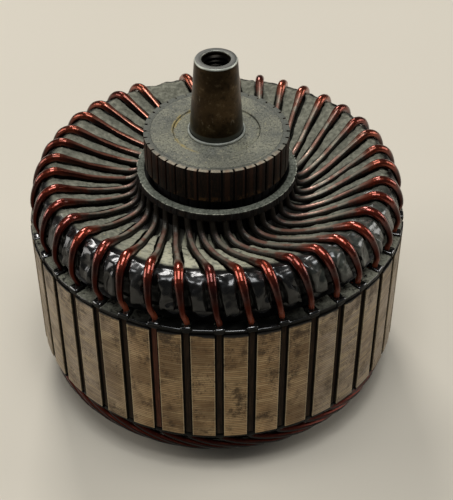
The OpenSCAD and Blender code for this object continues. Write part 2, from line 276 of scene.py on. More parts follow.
def make_piece(name, bm, finish, nodes, sharp=math.radians(35)):
    """Turns a bmesh into a named piece that stands for solids of the frame and rides with them."""
    bmesh.ops.recalc_face_normals(bm, faces=bm.faces)
    mesh = bpy.data.meshes.new(name)
    bm.to_mesh(mesh)
    bm.free()
    mesh.shade_smooth()
    mesh.set_sharp_from_angle(angle=sharp)
    mesh.materials.append(finish)
    piece = bpy.data.objects.new(name, mesh)
    bpy.context.scene.collection.objects.link(piece)
    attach(piece, "root")
    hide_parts(*nodes)
    return piece


def dress(node, finish):
    """Gives a solid of the frame its finish."""
    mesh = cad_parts[node].data
    mesh.materials.clear()
    mesh.materials.append(finish)


# Finishes

def paint(code):
    """Linear colour of a display colour written as a six-figure code."""
    parts = [int(code[i:i + 2], 16) / 255 for i in (0, 2, 4)]
    return tuple(p / 12.92 if p <= 0.04045 else ((p + 0.055) / 1.055) ** 2.4 for p in parts) + (1,)


class Value:
    """A shader socket that takes Python's operators, each of which adds its Math node."""

    def __init__(self, finish, socket):
        self.finish = finish
        self.socket = socket

    def math(self, operation, a, b):
        return self.finish.node("ShaderNodeMath", {"operation": operation}, {0: a, 1: b})

    def __add__(self, other):
        return self.math("ADD", self, other)

    def __radd__(self, other):
        return self.math("ADD", other, self)

    def __sub__(self, other):
        return self.math("SUBTRACT", self, other)

    def __rsub__(self, other):
        return self.math("SUBTRACT", other, self)

    def __mul__(self, other):
        return self.math("MULTIPLY", self, other)

    def __rmul__(self, other):
        return self.math("MULTIPLY", other, self)

    def __truediv__(self, other):
        return self.math("DIVIDE", self, other)

    def __pow__(self, other):
        return self.math("POWER", self, other)

    def __abs__(self):
        return self.math("ABSOLUTE", self, 0)


class Finish:
    """Node tree of one surface finish."""

    def __init__(self, name):
        self.material = bpy.data.materials.new(name)
        self.material.use_nodes = True
        self.tree = self.material.node_tree
        self.shader = self.tree.nodes["Principled BSDF"]
        self.place = self.node("ShaderNodeTexCoord", output="Object")
        axes = self.tree.nodes.new("ShaderNodeSeparateXYZ")
        self.tree.links.new(self.place.socket, axes.inputs[0])
        self.x, self.y, self.z = (Value(self, s) for s in axes.outputs)
        self.radius = (self.x * self.x + self.y * self.y) ** 0.5
        self.angle = self.y.math("ARCTAN2", self.y, self.x)
        surface = self.node("ShaderNodeNewGeometry", output="Normal")
        lean = self.tree.nodes.new("ShaderNodeSeparateXYZ")
        self.tree.links.new(surface.socket, lean.inputs[0])
        self.up = Value(self, lean.outputs[2])

    def node(self, kind, settings=None, sockets=None, output=0):
        """Adds a node, sets it, feeds its sockets and gives one of its outputs."""
        made = self.tree.nodes.new(kind)
        for key, value in (settings or {}).items():
            setattr(made, key, value)
        for key, value in (sockets or {}).items():
            self.feed(made.inputs[key], value)
        return Value(self, made.outputs[output])

    def feed(self, socket, value):
        if isinstance(value, Value):
            self.tree.links.new(value.socket, socket)
        else:
            socket.default_value = value

    def stretched(self, x, y, z):
        """Object coordinates with each axis scaled."""
        return self.node("ShaderNodeMapping", {}, {"Vector": self.place, "Scale": (x, y, z)})

    def around(self, per_turn, per_radius, per_height):
        """Coordinates that follow the angle, the radius and the height of a round piece."""
        return self.node("ShaderNodeCombineXYZ", {}, {
            0: self.angle * per_turn, 1: self.radius * per_radius, 2: self.z * per_height})

    def noise(self, scale, detail=3, rough=0.55, at=None):
        """Soft noise from 0 to 1, with its scale in patches per metre."""
        return self.node("ShaderNodeTexNoise", {}, {
            "Vector": at or self.place, "Scale": scale, "Detail": detail, "Roughness": rough})

    def specks(self, scale):
        """Distance from scattered points, near 0 at each point."""
        return self.node("ShaderNodeTexVoronoi", {}, {"Vector": self.place, "Scale": scale})

    def step(self, value, low, high):
        """Smooth step from 0 at low to 1 at high."""
        return self.node("ShaderNodeMapRange", {"interpolation_type": "SMOOTHSTEP"}, {
            "Value": value, "From Min": low, "From Max": high})

    def slots(self):
        """Number of the tooth or slot by the angle, and the share of the pitch across it from a slot."""
        turn = (self.angle - FIRST_SLOT) / PITCH + SLOT_COUNT
        return turn.math("FLOOR", turn, 0), turn.math("FRACT", turn, 0)

    def chance(self, number):
        """Random value from 0 to 1 that belongs to a number."""
        return self.node("ShaderNodeTexWhiteNoise", {"noise_dimensions": "1D"}, {"W": number})

    def mix(self, factor, a, b):
        """Colour between two colours."""
        return self.node("ShaderNodeMix", {"data_type": "RGBA"}, {0: factor, 6: a, 7: b}, output=2)

    def attribute(self, name):
        """Value that a piece carries along its own surface."""
        return self.node("ShaderNodeAttribute", {"attribute_name": name}, output="Fac")

    def bump(self, height, distance, strength):
        """Normal of a height that is given as a share of a distance."""
        return self.node("ShaderNodeBump", {}, {
            "Height": height, "Distance": distance, "Strength": strength})

    def set(self, **sockets):
        """Feeds the shader's sockets, named with underscores, and gives the material."""
        for name, value in sockets.items():
            self.feed(self.shader.inputs[name.replace("_", " ").title().replace("Ior", "IOR")], value)
        return self.material


def dusty(finish, amount, steep=0.6, scale=900):
    """Mask of the dust that lies on what faces up, in patches."""
    lie = finish.step(finish.up, steep, 0.5 * steep + 0.48)
    return lie * finish.step(finish.noise(scale, 4, 0.65), 0.62 - 0.45 * amount, 0.85 - 0.45 * amount)


DUST = paint("919080")
DUST_DARK = paint("636357")
DUST_PALE = paint("bebba2")


def nose_steel():
    """Dark bronzed steel, mottled and scuffed, worn grey on its top rim."""
    f = Finish("nose_steel")
    cloud = f.noise(160, 2, 0.5)
    mottle = f.noise(650, 5, 0.7)
    fine = f.noise(3000, 2, 0.5)
    brown = f.mix(f.step(cloud, 0.3, 0.7), paint("2e2417"), paint("423523"))
    brown = f.mix(f.step(mottle, 0.5, 0.7) * 0.7, brown, paint("120d08"))
    brown = f.mix(f.step(mottle, 0.46, 0.3) * 0.4, brown, paint("655843"))
    left = f.step(f.x, 1 * MM, -5 * MM)
    scrape = f.step(f.noise(1, 4, 0.65, at=f.around(5, 10, 420)), 0.6, 0.72)
    scrape = scrape * f.step(f.z, NOSE_TOP - 5 * MM, NECK_TOP + 6 * MM)
    brown = f.mix(scrape * (0.25 + 0.5 * left), brown, paint("8f8268"))
    neck = f.step(f.z, NECK_TOP + 0.15 * MM, NECK_TOP - 0.15 * MM)
    brown = f.mix(neck, brown, paint("4d4e49"))
    rim = f.step(f.z, NOSE_TOP - 0.5 * MM, NOSE_TOP - 0.2 * MM)
    rim = rim * f.step(f.radius, BORE_R - 0.1 * MM, BORE_R + 0.2 * MM)
    worn = f.mix(f.step(f.up, 0.97, 0.8), paint("4e4e48"), paint("c4c7bb"))
    brown = f.mix(rim * f.step(fine + mottle, 0.6, 0.85), brown, worn)
    # Painted shade: the bore's wall is darkened to near black below its mouth.
    bore_shade = f.step(f.radius, BORE_R + 0.08 * MM, BORE_R - 0.05 * MM)
    bore_shade = bore_shade * f.step(f.z, NOSE_TOP - 0.2 * MM, NOSE_TOP - 1.2 * MM)
    brown = f.mix(bore_shade, brown, paint("12100d"))
    return f.set(base_color=brown, metallic=0.95 - 0.6 * rim - 0.4 * scrape,
                 roughness=0.29 + 0.06 * fine + 0.15 * rim + 0.2 * scrape,
                 normal=f.bump(fine + mottle, 0.02 * MM, 0.5))


def bright_collar():
    """Plain steel under a grey film of dust."""
    f = Finish("bright_collar")
    film = f.noise(800, 3)
    colour = f.mix(f.step(film, 0.35, 0.7), paint("a0a39a"), paint("80837a"))
    return f.set(base_color=colour, metallic=0.25, roughness=0.5 + 0.25 * film,
                 normal=f.bump(film, 0.03 * MM, 0.5))


def cap_moulding(name, tone, pale):
    """Dusty moulding with turned rings, grit and pale specks."""
    f = Finish(name)
    edge = f.radius - WASHER_R
    rings = f.noise(1, 3, 0.6, at=f.around(0.6, 3600, 0))
    cloud = f.noise(170, 4, 0.6)
    grain = f.noise(2600, 3, 0.7)
    speck = f.step(f.specks(900), 0.2, 0.1) * f.step(f.noise(420, 2), 0.5, 0.62)
    pit = f.step(f.specks(700), 0.16, 0.08) * f.step(f.noise(300, 2), 0.5, 0.6)
    colour = f.mix(f.step(cloud, 0.3, 0.7), paint(tone), paint(pale))
    colour = f.mix(f.step(rings, 0.45, 0.7) * 0.3, colour, paint("97967f"))
    colour = f.mix(f.step(grain, 0.45, 0.65) * 0.6, colour, paint("4a4a41"))
    grit = f.noise(1300, 3, 0.8)
    colour = f.mix(f.step(grit, 0.53, 0.66) * 0.7, colour, paint("3d3c34"))
    colour = f.mix(f.step(grit, 0.44, 0.3) * 0.6, colour, paint("b0a78c"))
    scratch = f.step(f.noise(1, 4, 0.7, at=f.stretched(1900, 260, 0)), 0.66, 0.74)
    colour = f.mix(scratch * 0.6, colour, paint("b7ad91"))
    near_edge = f.step(abs(edge), 0.7 * MM, 0.2 * MM)
    deposit = near_edge * f.step(f.x, -3 * MM, -7 * MM) * f.step(f.noise(500, 3), 0.4, 0.6)
    colour = f.mix(deposit * 0.8, colour, paint("a8955c"))
    colour = f.mix(speck, colour, paint("aaa17c"))
    colour = f.mix(pit, colour, paint("2c2b26"))
    return f.set(base_color=colour, roughness=0.7 + 0.2 * cloud, specular_ior_level=0.3,
                 normal=f.bump(rings + grain + 0.5 * cloud, 0.06 * MM, 0.8))


def bar_copper():
    """Copper bars: rubbed pale on top, burnt black on the running face, dusty on the riser ring."""
    f = Finish("bar_copper")
    each = f.noise(1, 0, 0.5, at=f.around(SLOT_COUNT / 3.2, 0, 0))
    streak = f.noise(1, 3, 0.6, at=f.around(60, 0, 900))
    grain = f.noise(2600, 3, 0.6)
    burnt = f.mix(f.step(streak, 0.4, 0.72), paint("0c0906"), paint("291910"))
    burnt = f.mix(f.step(each, 0.45, 0.65) * 0.6, burnt, paint("3d261a"))
    # Painted glints: lighter brown patches low on the bars' running face.
    lower = f.step(f.z, GROOVE_TOP + 1.6 * MM, GROOVE_TOP + 0.2 * MM)
    burnt = f.mix(lower * f.step(f.noise(700, 3), 0.5, 0.68) * 0.6, burnt, paint("74522f"))
    top = f.step(f.up, 0.35, 0.8)
    rubbed = f.mix(f.step(grain, 0.35, 0.7), paint("a59a86"), paint("857d6c"))
    rubbed = f.mix(f.step(each, 0.45, 0.7) * 0.6, rubbed, paint("94755f"))
    dull = f.mix(f.step(grain, 0.35, 0.7), paint("67685f"), paint("50514a"))
    inward = f.step(f.radius + 1.2 * MM * (f.noise(900, 3) - 0.5), FACE_R - 0.5 * MM, FACE_R - 1.3 * MM)
    rubbed = f.mix(inward, rubbed, dull)
    rubbed = f.mix(f.step(f.y, -14 * MM, -4 * MM), rubbed, dull)
    colour = f.mix(top, burnt, rubbed)
    ring = f.step(f.z, GROOVE_TOP - 0.5 * MM, RISER_TOP + 0.2 * MM)
    colour = f.mix(ring * (1 - top) * 0.9, colour, paint("0e0c0a"))
    flange = top * ring
    felt = f.mix(f.step(f.noise(1500, 4, 0.65), 0.35, 0.7), paint("53564c"), paint("7d8074"))
    felt = f.mix(f.step(f.noise(1700, 3, 0.8), 0.54, 0.64) * 0.65, felt, paint("2b2d27"))
    colour = f.mix(flange, colour, felt)
    # Painted highlight: a pale line along the riser ring's outer bevel.
    edge = ring * f.step(f.radius, RISER_R - 0.3 * MM, RISER_R - 0.1 * MM) * f.step(f.up, 0.1, 0.5)
    colour = f.mix(edge * f.step(grain, 0.35, 0.6), colour, paint("b5b5a4"))
    # Painted shade: the channel inside the riser ring is near black.
    channel_shade = ring * f.step(f.radius, RIM_IN_R + 0.06 * MM, RIM_IN_R - 0.1 * MM)
    colour = f.mix(channel_shade, colour, paint("080706"))
    return f.set(base_color=colour, metallic=(0.5 - 0.45 * ring) * (1 - top), specular_ior_level=0.25,
                 roughness=0.42 + 0.3 * ring + 0.12 * grain + 0.2 * top * (1 - ring),
                 normal=f.bump(streak + grain, 0.04 * MM, 0.6))


def core_steel():
    """Edges of the core's steel sheets: tan in front, greyer at the sides as a painted reflection, with
    seams and stains, a painted highlight on the teeth's edges and painted shade on the slot walls.
    """
    f = Finish("core_steel")
    sheet = (f.z - CORE_BOTTOM) / SHEET_T
    across = sheet.math("FRACT", sheet, 0)
    seam = f.step(abs(across - 0.5), 0.15, 0.45)
    each = f.noise(1, 2, 0.5, at=f.node("ShaderNodeCombineXYZ", {}, {
        0: f.angle * 4, 1: sheet.math("FLOOR", sheet, 0) * 3.7, 2: 0.0}))
    tooth, share = f.slots()
    cloud = f.noise(130, 4, 0.6)
    stain = f.noise(300, 6, 0.7)
    grime = f.noise(1100, 4, 0.75)
    # Painted reflection: towards the sides the teeth turn greyer, with fainter seams and stains, as a
    # grazing sheen.
    side = f.step(abs(f.x) + 8 * MM * f.chance(tooth), 16 * MM, 30 * MM)
    colour = f.mix(f.step(cloud, 0.3, 0.7), paint("a3835a"), paint("cba97c"))
    grey = f.mix(f.step(cloud, 0.3, 0.7), paint("817260"), paint("b0a292"))
    colour = f.mix(side, colour, grey)
    colour = f.mix(f.chance(tooth + 0.5) * 0.4, colour, paint("5a4830"))
    colour = f.mix(f.step(each, 0.4, 0.7) * 0.45, colour, paint("d0b98f"))
    colour = f.mix(seam * (0.6 - 0.2 * side), colour, paint("40301b"))
    wash = f.step(f.noise(95, 5, 0.65), 0.42, 0.62)
    colour = f.mix(wash * (0.6 - 0.3 * side), colour, paint("5a4124"))
    colour = f.mix(f.step(stain, 0.5, 0.68) * (0.82 - 0.3 * side), colour, paint("412d16"))
    blot = f.step(f.noise(170, 8, 0.8), 0.57, 0.66) * f.step(grime, 0.38, 0.6)
    colour = f.mix(blot * (0.8 - 0.35 * side), colour, paint("22180d"))
    colour = f.mix(f.step(grime, 0.6, 0.7) * 0.65, colour, paint("2a2016"))
    pitted = f.step(f.noise(2000, 3, 0.75), 0.52, 0.62) * f.step(f.noise(150, 4, 0.6), 0.48, 0.62)
    colour = f.mix(pitted * 0.7, colour, paint("251a0e"))
    upper = f.step(f.z, CORE_TOP - 9 * MM, CORE_TOP)
    colour = f.mix(upper * f.step(stain, 0.42, 0.62) * 0.65, colour, paint("38291a"))
    # Painted highlight: a pale line along each tooth's edges.
    edge_highlight = f.step(abs(share - 0.5) * (PITCH * CORE_R), 2.38 * MM, 2.55 * MM)
    colour = f.mix(edge_highlight * f.step(grime, 0.3, 0.55) * 0.5, colour, paint("cdbd9c"))
    ragged = f.z + 1.6 * MM * (f.noise(330, 5, 0.7) - 0.5)
    colour = f.mix(f.step(ragged, CORE_TOP - 0.5 * MM, CORE_TOP - 0.2 * MM), colour, paint("0d0b08"))
    # Painted shade: the slot walls inside the teeth's outer face are near black.
    wall = f.step(f.radius, CORE_R - 0.15 * MM, CORE_R - 0.4 * MM)
    colour = f.mix(wall * 0.92, colour, paint("0a0705"))
    return f.set(base_color=colour, metallic=0.55, roughness=0.4 + 0.2 * stain,
                 normal=f.bump(0.4 * (1 - seam) + 0.25 * grime, 0.05 * MM, 0.7))


def black_varnish(name, dust, wrinkle, gloss, bare_front=0):
    """Black varnish over tape and fibre, glossy on top, with dust that can spare the front."""
    f = Finish(name)
    fold = f.noise(420, 2, 0.45)
    pit = f.noise(2600, 3, 0.6)
    lie = dusty(f, dust) * (1 - bare_front * f.step(f.y, -30 * MM, -42 * MM))
    colour = f.mix(f.step(fold, 0.45, 0.75), paint("070706"), paint("151513"))
    settled = f.mix(f.step(f.noise(2400, 4, 0.7), 0.35, 0.7), DUST_DARK, DUST)
    colour = f.mix(lie, colour, settled)
    wet = gloss * f.step(f.up, 0.1, 0.5) * (1 - lie)
    return f.set(base_color=colour, roughness=0.3 + 0.16 * fold + 0.5 * lie, specular_ior_level=0.08,
                 coat_weight=wet, coat_roughness=0.09, coat_ior=1.8,
                 normal=f.bump(fold + 0.08 * pit + 0.25 * lie * pit, wrinkle, 0.8))


def padded_crown():
    """Varnished padding: dust on the bowl's pads, palest in front, a bare glossy roll outside, and
    painted shade in the grooves beside the wires.
    """
    f = Finish("crown_varnish")
    fold = f.noise(420, 2, 0.45)
    pit = f.noise(2600, 3, 0.6)
    patch = f.noise(700, 4, 0.6)
    rear = f.step(f.y, -5 * MM, 15 * MM)
    fore = f.step(f.y, -12 * MM, -22 * MM) * f.step(f.radius, 37 * MM, 35 * MM)
    pads = f.step(f.attribute("apart") + 0.6 * (patch - 0.5) + 0.3 * (rear + fore), 1.15, 1.6)
    front = f.step(f.y, -16 * MM, -30 * MM)
    reach_out = f.radius + 2.4 * MM * (patch - 0.5) + 4 * MM * front
    lie = dusty(f, 0.95) * f.step(reach_out, 40.5 * MM, 39 * MM)
    lie = lie * (0.1 + 0.9 * pads)
    right = f.step(f.x, 14 * MM, 27 * MM) * f.step(f.y, -2 * MM, -12 * MM)
    lie = lie * (1 - 0.85 * right * f.step(f.radius, 30 * MM, 34 * MM))
    colour = f.mix(f.step(fold, 0.45, 0.75), paint("080807"), paint("191917"))
    satin = f.mix(f.step(patch, 0.4, 0.65), paint("272a25"), paint("484c45"))
    colour = f.mix(right * f.step(f.up, -0.2, 0.4), colour, satin)
    # Painted shade: the grooves beside the wires, off the pads, are near black.
    colour = f.mix(pads, paint("030302"), colour)
    settled = f.mix(f.step(f.noise(1000, 4, 0.6), 0.3, 0.75), DUST_DARK, DUST)
    swept = f.step(f.x, 16 * MM, 4 * MM) * f.step(f.x, -26 * MM, -8 * MM)
    swept = swept * f.step(f.y, -12 * MM, -22 * MM)
    settled = f.mix(swept * f.step(patch, 0.32, 0.55), settled, DUST_PALE)
    crumb = f.step(f.specks(1100), 0.3, 0.15) * f.step(f.noise(260, 3), 0.5, 0.6)
    settled = f.mix(crumb * f.step(f.y, -10 * MM, -18 * MM), settled, paint("a9a27c"))
    colour = f.mix(lie, colour, settled)
    wet = f.step(f.up, -0.2, 0.3) * (1 - lie) * f.step(f.y, -2 * MM, -16 * MM)
    shine = 0.38 + 0.38 * f.step(f.up, 0.1, 0.5) + 0.24 * right
    wet = shine * pads * wet * f.step(f.radius, 34.5 * MM, 36.5 * MM)
    drape = f.noise(1, 3, 0.5, at=f.stretched(620, 620, 170))
    return f.set(base_color=colour, roughness=0.3 + 0.16 * fold + 0.5 * lie, specular_ior_level=0.14,
                 coat_weight=wet, coat_roughness=0.22, coat_ior=1.7,
                 normal=f.bump(fold + 0.4 * drape + 0.06 * pit + 0.12 * lie * pit, 0.16 * MM, 0.8))


def crown_enamel():
    """Red enamel on copper: clear at the crest, dusty and rubbed where it runs down the bowl, with
    painted shade on the legs and the leads and painted highlights on the left wires' ridges.
    """
    f = Finish("enamelled_wire")
    along = f.attribute("along")
    shade = f.attribute("shade")
    patch = f.noise(420, 4, 0.6)
    fine = f.noise(2600, 3, 0.6)
    far = f.step(f.y, -16 * MM, 10 * MM)
    left = far * f.step(f.x, 12 * MM, -16 * MM)
    enamel = f.mix(shade, paint("641e0f"), paint("97391f"))
    enamel = f.mix(far * 0.6, enamel, f.mix(shade, paint("672c1c"), paint("915036")))
    enamel = f.mix(f.step(patch, 0.5, 0.75) * 0.6, enamel, paint("2a0a05"))
    height = along + 0.08 * (patch - 0.5)
    # Painted dark reflection: the legs go near black just below the crest.
    enamel = f.mix(f.step(height, 0.4, 0.29) * 0.9, enamel, paint("1c0805"))
    foot = f.step(height, 0.22, 0.1) * f.step(f.x, -32 * MM, -16 * MM)
    enamel = f.mix(foot, enamel, f.mix(shade, paint("6b2d19"), paint("884229")))
    # Rubbed copper on the left wires in the bowl, with a painted highlight on the ridge and painted
    # shade on the sides.
    rubbed = f.mix(f.step(f.up + 0.3 * (patch - 0.5), 0.62, 0.92), paint("20110c"), paint("c07a62"))
    enamel = f.mix(left * f.step(height, 0.45, 0.56), enamel, rubbed)
    worn = f.step(along + 0.16 * (patch - 0.5) - 0.2 * left, 0.46, 0.6)
    film = f.mix(f.step(fine, 0.35, 0.7), paint("1a1713"), paint("37322a"))
    ochre = f.mix(f.step(f.noise(300, 3), 0.42, 0.6), paint("a19a88"), paint("946a59"))
    film = f.mix(f.step(f.up, 0.6, 0.92) * 0.75, film, ochre)
    low = worn * f.step(fine + 0.5 * patch, 0.2, 0.6)
    colour = f.mix(low, enamel, film)
    ridge = f.step(f.up, 0.86, 0.98) * f.step(f.noise(240, 3), 0.4, 0.6)
    glint = worn * ridge
    colour = f.mix(glint * 0.75, colour, paint("cfa594"))
    # Painted shade: the leads standing up under the riser ring go near black.
    lead_shade = f.step(along + 0.1 * (patch - 0.5), 0.74, 0.88)
    colour = f.mix(lead_shade * 0.75, colour, paint("16120e"))
    gloss = f.step(height, 0.22, 0.36) * (1 - worn) * (1 - 0.5 * far)
    metal = (0.9 - 0.6 * low + 0.4 * glint - 0.65 * foot) * (1 - 0.7 * lead_shade)
    return f.set(base_color=colour, metallic=metal,
                 roughness=0.28 + 0.16 * low - 0.14 * glint + 0.15 * foot, specular_ior_level=0.25,
                 coat_weight=0.85 * gloss, coat_roughness=0.16,
                 normal=f.bump(patch + 0.4 * fine, 0.05 * MM, 0.5))


def lower_enamel():
    """Red-brown enamel of the lower end turns, with painted shade that blackens their undersides."""
    f = Finish("lower_enamelled_wire")
    patch = f.noise(420, 4, 0.6)
    fine = f.noise(2600, 3, 0.6)
    colour = f.mix(f.step(fine, 0.3, 0.7), paint("571d11"), paint("77301e"))
    # Painted shade: what faces down is near black.
    colour = f.mix(f.step(f.up, 0.85, 0.3), colour, paint("050302"))
    return f.set(base_color=colour, metallic=0.5, roughness=0.3 + 0.2 * fine, specular_ior_level=0.3,
                 normal=f.bump(patch + 0.4 * fine, 0.05 * MM, 0.5))


def slot_strip_finish(name, dark, light):
    """Pressed fibre, with painted shade that blackens it along the slot's walls."""
    f = Finish(name)
    streak = f.noise(1, 3, 0.6, at=f.around(240, 0, 160))
    patch = f.noise(600, 4, 0.6)
    _, share = f.slots()
    aside = (0.5 - abs(share - 0.5)) * (PITCH * CORE_R)
    colour = f.mix(f.step(streak, 0.4, 0.7), paint(dark), paint(light))
    colour = f.mix(f.step(patch, 0.55, 0.75) * 0.5, colour, paint("120d09"))
    # Painted shade along the slot's walls.
    colour = f.mix(f.step(aside, 0.4 * MM, 0.72 * MM), colour, paint("060403"))
    return f.set(base_color=colour, roughness=0.55 + 0.25 * patch, specular_ior_level=0.1,
                 normal=f.bump(streak + patch, 0.06 * MM, 0.6))


def plain_mica():
    """Flaky mineral leaf, dark with copper dust, pale where it shows in the bars' top rim."""
    f = Finish("mica")
    flake = f.noise(1800, 3)
    colour = f.mix(flake, paint("040303"), paint("0d0906"))
    top = f.step(f.up, 0.8, 0.95) * f.step(f.z, COMMUTATOR_TOP - 0.5 * MM, COMMUTATOR_TOP - 0.2 * MM)
    colour = f.mix(top, colour, f.mix(flake, paint("67685f"), paint("50514a")))
    return f.set(base_color=colour, roughness=0.6 + 0.2 * flake, specular_ior_level=0.15)


def floor_finish():
    """Plain pale floor."""
    f = Finish("floor")
    cloud = f.noise(6, 2)
    colour = f.mix(cloud, paint("d3cbbb"), paint("dbd4c5"))
    return f.set(base_color=colour, roughness=0.8)


# Pieces

def make_shaft(finish):
    """Hub with its crank taper, seat of the commutator, and the hollow nose with its thread."""
    edge = 0.5 * MM
    body = lathe([
        (TAPER_MOUTH_R, SEAT_Z), (HUB_R - edge, SEAT_Z), (HUB_R, SEAT_Z + edge),
        (HUB_R, SHOULDER_BOTTOM), (SHAFT_R, SHOULDER_BOTTOM), (SHAFT_R, CORE_BOTTOM),
        (HUB_R, CORE_BOTTOM), (HUB_R, HUB_TOP), (SEAT_R, HUB_TOP), (SEAT_R, NECK_TOP),
        (NOSE_TOP_R + edge / 2, NOSE_TOP - edge), (NOSE_TOP_R, NOSE_TOP), (BORE_R, NOSE_TOP),
        (BORE_R, SEAT_Z + TAPER_DEPTH), (TAPER_END_R, SEAT_Z + TAPER_DEPTH),
    ])
    soften(body, 0.22 * MM, 3, math.radians(30))
    turns = 11
    steps = 24 * turns
    thread = bmesh.new()
    top = NOSE_TOP - 1.2 * MM
    corners = [thread.verts.new((r, 0, top + z)) for r, z in (
        (BORE_R + GAP, 0.4 * THREAD_PITCH), (BORE_R - THREAD_DEPTH, 0),
        (BORE_R + GAP, -0.4 * THREAD_PITCH))]
    face = thread.faces.new(corners)
    bmesh.ops.spin(thread, geom=corners + list(face.edges) + [face], cent=(0, 0, 0), axis=(0, 0, 1),
                   dvec=(0, 0, -THREAD_PITCH * turns / steps), angle=TURN * turns, steps=steps)
    make_piece("shaft_body", joined([body, thread]), finish, ["shaft"])


def make_cap(finish_cap, finish_washer, finish_collar):
    """End cap of the commutator, the washer let into it, and the collar at the nose's foot."""
    inner = SEAT_R + GAP
    cap = lathe([
        (inner, CAP_BOTTOM), (CAP_R + 0.8 * GAP, CAP_BOTTOM), (CAP_R + 0.8 * GAP, CAP_TOP),
        (WASHER_R + 2 * GAP, CAP_TOP), (WASHER_R + 2 * GAP, WASHER_BOTTOM), (inner, WASHER_BOTTOM)])
    soften(cap, 0.05 * MM)
    make_piece("end_cap_moulding", cap, finish_cap, ["end_cap"])
    washer = lathe([
        (inner, WASHER_BOTTOM), (WASHER_R, WASHER_BOTTOM), (WASHER_R, WASHER_TOP),
        (inner, WASHER_TOP)])
    soften(washer, 0.1 * MM)
    make_piece("cap_washer_moulding", washer, finish_washer, ["cap_washer"])
    collar = lathe([
        (inner, COLLAR_BOTTOM), (COLLAR_R, COLLAR_BOTTOM), (COLLAR_R, COLLAR_TOP),
        (inner, COLLAR_TOP)])
    soften(collar, 0.24 * MM, 3)
    make_piece("nose_collar_ring", collar, finish_collar, ["nose_collar"])


def make_bars(finish, leaf_finish):
    """Commutator bars, each a little out of line with its neighbours, on the dusty riser ring."""
    slit = SLIT_W / FACE_R
    bar = lathe([
        (BAR_IN_R, GROOVE_FLOOR), (GROOVE_R, GROOVE_FLOOR), (GROOVE_R, GROOVE_TOP),
        (FACE_R, GROOVE_TOP), (FACE_R, COMMUTATOR_TOP), (CAP_R + GAP, COMMUTATOR_TOP),
        (CAP_R + GAP, CAP_BOTTOM - GAP), (BAR_IN_R, CAP_BOTTOM - GAP)],
        steps=4, start=slit / 2, angle=PITCH - slit)
    soften(bar, 0.08 * MM)
    places = []
    for k in range(SLOT_COUNT):
        slip = turned(random.uniform(-0.0035, 0.0035))
        drop = Matrix.Translation((0, 0, -random.uniform(0, 0.06) * MM))
        places.append(turned(FIRST_SLIT + k * PITCH) @ slip @ drop)
    ring = lathe([
        (BAR_IN_R, RISER_BOTTOM), (RISER_R, RISER_BOTTOM), (RISER_R, RISER_TOP + 0.3 * GAP),
        (RIM_IN_R, RISER_TOP + 0.3 * GAP),
        (RIM_IN_R, GROOVE_FLOOR), (BAR_IN_R, GROOVE_FLOOR)], steps=16 * SLOT_COUNT)
    for v in ring.verts:
        if v.co.xy.length > RISER_R - GAP:
            chip = ease(noise.noise(v.co * 1500), 0, 0.4)
            v.co.xy *= 1 - 0.24 * MM * chip / RISER_R
            if v.co.z > RISER_BOTTOM + GAP:
                v.co.z -= 0.22 * MM * chip
    soften(ring, 0.1 * MM)
    make_piece("commutator_copper", joined([repeated(bar, places), ring]), finish,
               ["commutator_bars"])
    leaf = bmesh.new()
    face = leaf.faces.new([leaf.verts.new((r, -LEAF_T / 2, z)) for r, z in (
        (BAR_IN_R, RISER_BOTTOM), (GROOVE_R - GAP, RISER_BOTTOM), (GROOVE_R - GAP, GROOVE_TOP),
        (FACE_R - MICA_CUT, GROOVE_TOP), (FACE_R - MICA_CUT, COMMUTATOR_TOP - MICA_NOTCH),
        (FACE_R - MICA_NOTCH, COMMUTATOR_TOP - 0.3 * GAP), (CAP_R + GAP, COMMUTATOR_TOP - 0.3 * GAP),
        (CAP_R + GAP, CAP_BOTTOM - GAP), (BAR_IN_R, CAP_BOTTOM - GAP))])
    grown = bmesh.ops.extrude_face_region(leaf, geom=[face])["geom"]
    far_side = [g for g in grown if isinstance(g, bmesh.types.BMVert)]
    bmesh.ops.translate(leaf, vec=(0, LEAF_T, 0), verts=far_side)
    leaves = repeated(leaf, [turned(FIRST_SLIT + k * PITCH) for k in range(SLOT_COUNT)])
    make_piece("mica_leaves", leaves, leaf_finish, ["mica_separators"])


def core_tooth():
    """One tooth of the core, as a stack of sheets whose edges don't quite line up."""
    half = PITCH / 2
    wall = SLOT_W / 2
    arc = half - math.asin(wall / CORE_R)
    side = Vector((math.cos(half), math.sin(half))) * (SLOT_FLOOR_R - GAP)
    side += Vector((math.sin(half), -math.cos(half))) * wall
    outline = [(side.x, -side.y)]
    outline += [(CORE_R * math.cos(a * arc / 2), CORE_R * math.sin(a * arc / 2)) for a in range(-2, 3)]
    outline += [(side.x, side.y)]
    bm = bmesh.new()
    face = bm.faces.new([bm.verts.new((x, y, CORE_BOTTOM)) for x, y in outline])
    for _ in range(SHEET_COUNT):
        radius = CORE_R - random.uniform(0, SHEET_SLIP)
        for rise in (0.12, 0.88):
            grown = bmesh.ops.extrude_face_region(bm, geom=[face])["geom"]
            face = next(g for g in grown if isinstance(g, bmesh.types.BMFace))
            for v in face.verts:
                v.co.z += rise * SHEET_T
                if v.co.xy.length > SLOT_FLOOR_R + 1 * MM:
                    v.co.xy = v.co.xy.normalized() * radius
    bmesh.ops.recalc_face_normals(bm, faces=bm.faces)
    return bm


def make_core(finish):
    """Laminated core: the teeth between the slots, round the solid ring on the hub."""
    teeth = repeated(core_tooth(), [turned(slot_angle(k + 0.5)) for k in range(SLOT_COUNT)])
    middle = lathe([
        (HUB_R + GAP, CORE_BOTTOM), (SLOT_FLOOR_R, CORE_BOTTOM), (SLOT_FLOOR_R, CORE_TOP),
        (HUB_R + GAP, CORE_TOP)], steps=SLOT_COUNT * 2)
    make_piece("core_sheets", joined([teeth, middle]), finish, ["lamination_core"],
               sharp=math.radians(25))


